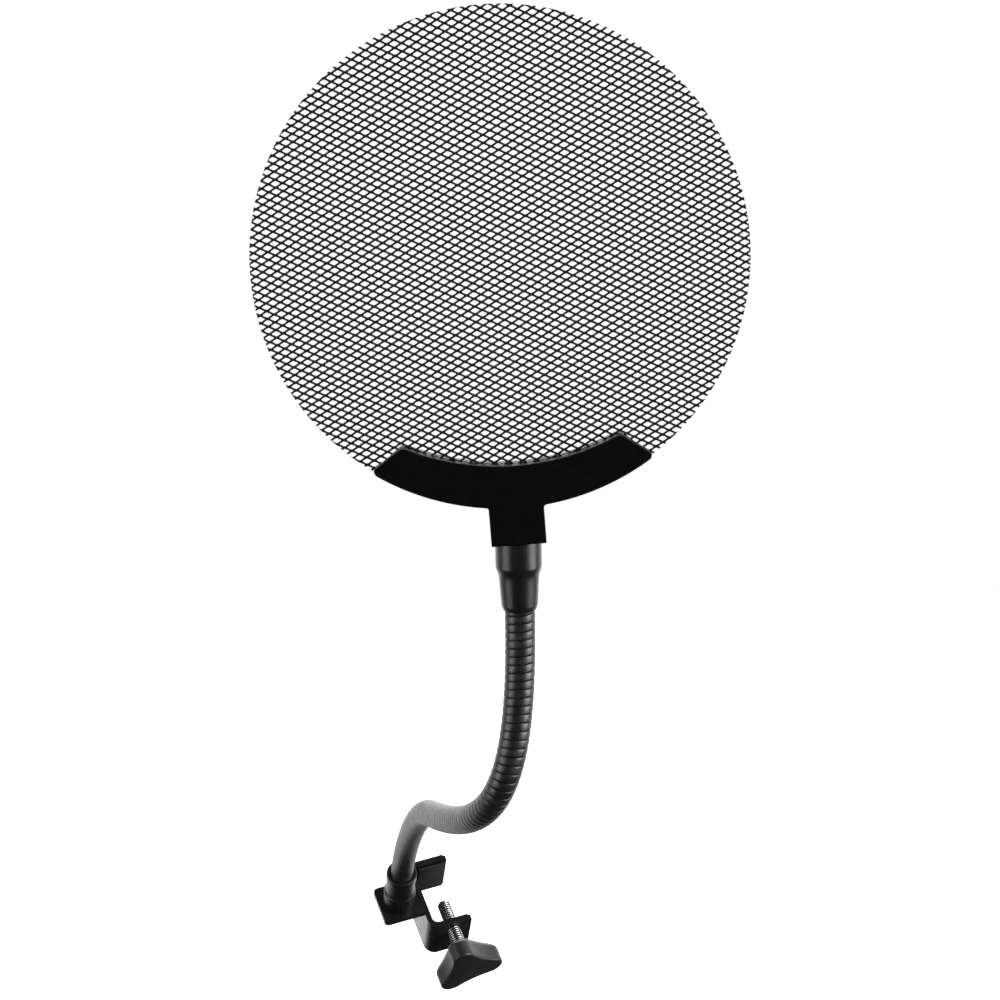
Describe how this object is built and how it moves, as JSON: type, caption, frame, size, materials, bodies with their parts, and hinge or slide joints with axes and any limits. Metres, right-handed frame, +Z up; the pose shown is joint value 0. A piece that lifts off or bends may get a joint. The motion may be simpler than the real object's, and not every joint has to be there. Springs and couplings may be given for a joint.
{
  "type": "pop filter",
  "caption": "Round metal-mesh pop filter in a crescent holder, on a bendable gooseneck with a screw clamp for a boom pole.",
  "frame": {"origin": "where the clamp screw's axis crosses the axis of the gripped pole", "axes": "+Z up, -Y towards the singer, X level across the screen; the screen stands upright and the gripped pole leans 36 degrees towards the singer"},
  "size_m": [0.1555, 0.2583, 0.4124],
  "materials": {
    "screen_paint": "satin black enamel on expanded steel",
    "holder_plastic": "fine matt black",
    "sleeve_black": "satin dark grey",
    "neck_paint": "satin black enamel, worn on the ridges",
    "clamp_paint": "semi-gloss black enamel",
    "bare_steel": "plain turned or drawn steel",
    "zinc": "bright zinc plate",
    "knob_plastic": "satin black",
    "pad_rubber": "matt black"
  },
  "bodies": {
    "clamp": {"clamp_body": "clamp_paint", "jaw_pad": "pad_rubber", "lower_sleeve": "sleeve_black", "lower_end_fitting": "bare_steel", "tab_washer": "zinc", "tab_screw": "zinc", "gooseneck_core_1": "bare_steel", "gooseneck_wedge_1": "neck_paint"},
    "neck_1": {"gooseneck_core_2": "bare_steel", "gooseneck_wedge_2": "neck_paint"},
    "neck_2": {"gooseneck_core_3": "bare_steel", "gooseneck_wedge_3": "neck_paint"},
    "neck_3": {"gooseneck_core_4": "bare_steel", "gooseneck_wedge_4": "neck_paint"},
    "neck_4": {"gooseneck_core_5": "bare_steel", "gooseneck_wedge_5": "neck_paint"},
    "neck_5": {"gooseneck_core_6": "bare_steel", "gooseneck_wedge_6": "neck_paint"},
    "neck_6": {"gooseneck_core_7": "bare_steel", "gooseneck_wedge_7": "neck_paint"},
    "neck_7": {"gooseneck_core_8": "bare_steel", "gooseneck_wedge_8": "neck_paint"},
    "head": {"mesh_screen": "screen_paint", "bracket_front_shell": "holder_plastic", "bracket_rear_shell": "holder_plastic", "screen_gasket": "pad_rubber", "bracket_screw_1": "zinc", "bracket_screw_2": "zinc", "bracket_screw_3": "zinc", "upper_end_fitting": "bare_steel", "stem_set_screw": "bare_steel", "upper_sleeve": "sleeve_black", "gooseneck_core_9": "bare_steel", "gooseneck_wedge_9": "neck_paint"},
    "screw": {"clamp_screw": "zinc"},
    "knob": {"clamp_knob": "knob_plastic"}
  },
  "joints": [
    {"name": "neck_hinge_1", "type": "hinge", "parent": "clamp", "child": "neck_1", "pos_m": [-0.00964, -0.042, 0.03324], "axis": [0.9885, 0.118, -0.0946], "range_deg": [-25, 25]},
    {"name": "neck_hinge_2", "type": "hinge", "parent": "neck_1", "child": "neck_2", "pos_m": [-0.00404, -0.07253, 0.05433], "axis": [0, 0.5274, 0.8496], "range_deg": [-25, 25]},
    {"name": "neck_hinge_3", "type": "hinge", "parent": "neck_2", "child": "neck_3", "pos_m": [0.00163, -0.1047, 0.07285], "axis": [-0.988, -0.1362, 0.0728], "range_deg": [-25, 25]},
    {"name": "neck_hinge_4", "type": "hinge", "parent": "neck_3", "child": "neck_4", "pos_m": [0.00773, -0.13802, 0.08902], "axis": [0, -0.3883, -0.9215], "range_deg": [-25, 25]},
    {"name": "neck_hinge_5", "type": "hinge", "parent": "neck_4", "child": "neck_5", "pos_m": [0.01555, -0.1729, 0.10045], "axis": [0.9725, 0.2225, -0.0692], "range_deg": [-25, 25]},
    {"name": "neck_hinge_6", "type": "hinge", "parent": "neck_5", "child": "neck_6", "pos_m": [0.02549, -0.20706, 0.11239], "axis": [0, 0.388, 0.9217], "range_deg": [-25, 25]},
    {"name": "neck_hinge_7", "type": "hinge", "parent": "neck_6", "child": "neck_7", "pos_m": [0.0399, -0.23247, 0.13394], "axis": [-0.917, -0.0874, 0.3891], "range_deg": [-25, 25]},
    {"name": "neck_hinge_8", "type": "hinge", "parent": "neck_7", "child": "head", "pos_m": [0.04815, -0.22954, 0.17015], "axis": [0, -0.9947, 0.1031], "range_deg": [-25, 25]},
    {"name": "screw_travel", "type": "slide", "parent": "clamp", "child": "screw", "axis": [0.3079, -0.7332, -0.6063], "range_m": [-0.0063, 0.011]},
    {"name": "knob_turn", "type": "hinge", "parent": "screw", "child": "knob", "pos_m": [0, 0, 0], "axis": [0.3079, -0.7332, -0.6063], "range_deg": [-2210, 3910]}
  ],
  "couplings": [
    {"joint": "screw_travel", "follows": "knob_turn", "m_per_rad": 0.00015915}
  ]
}
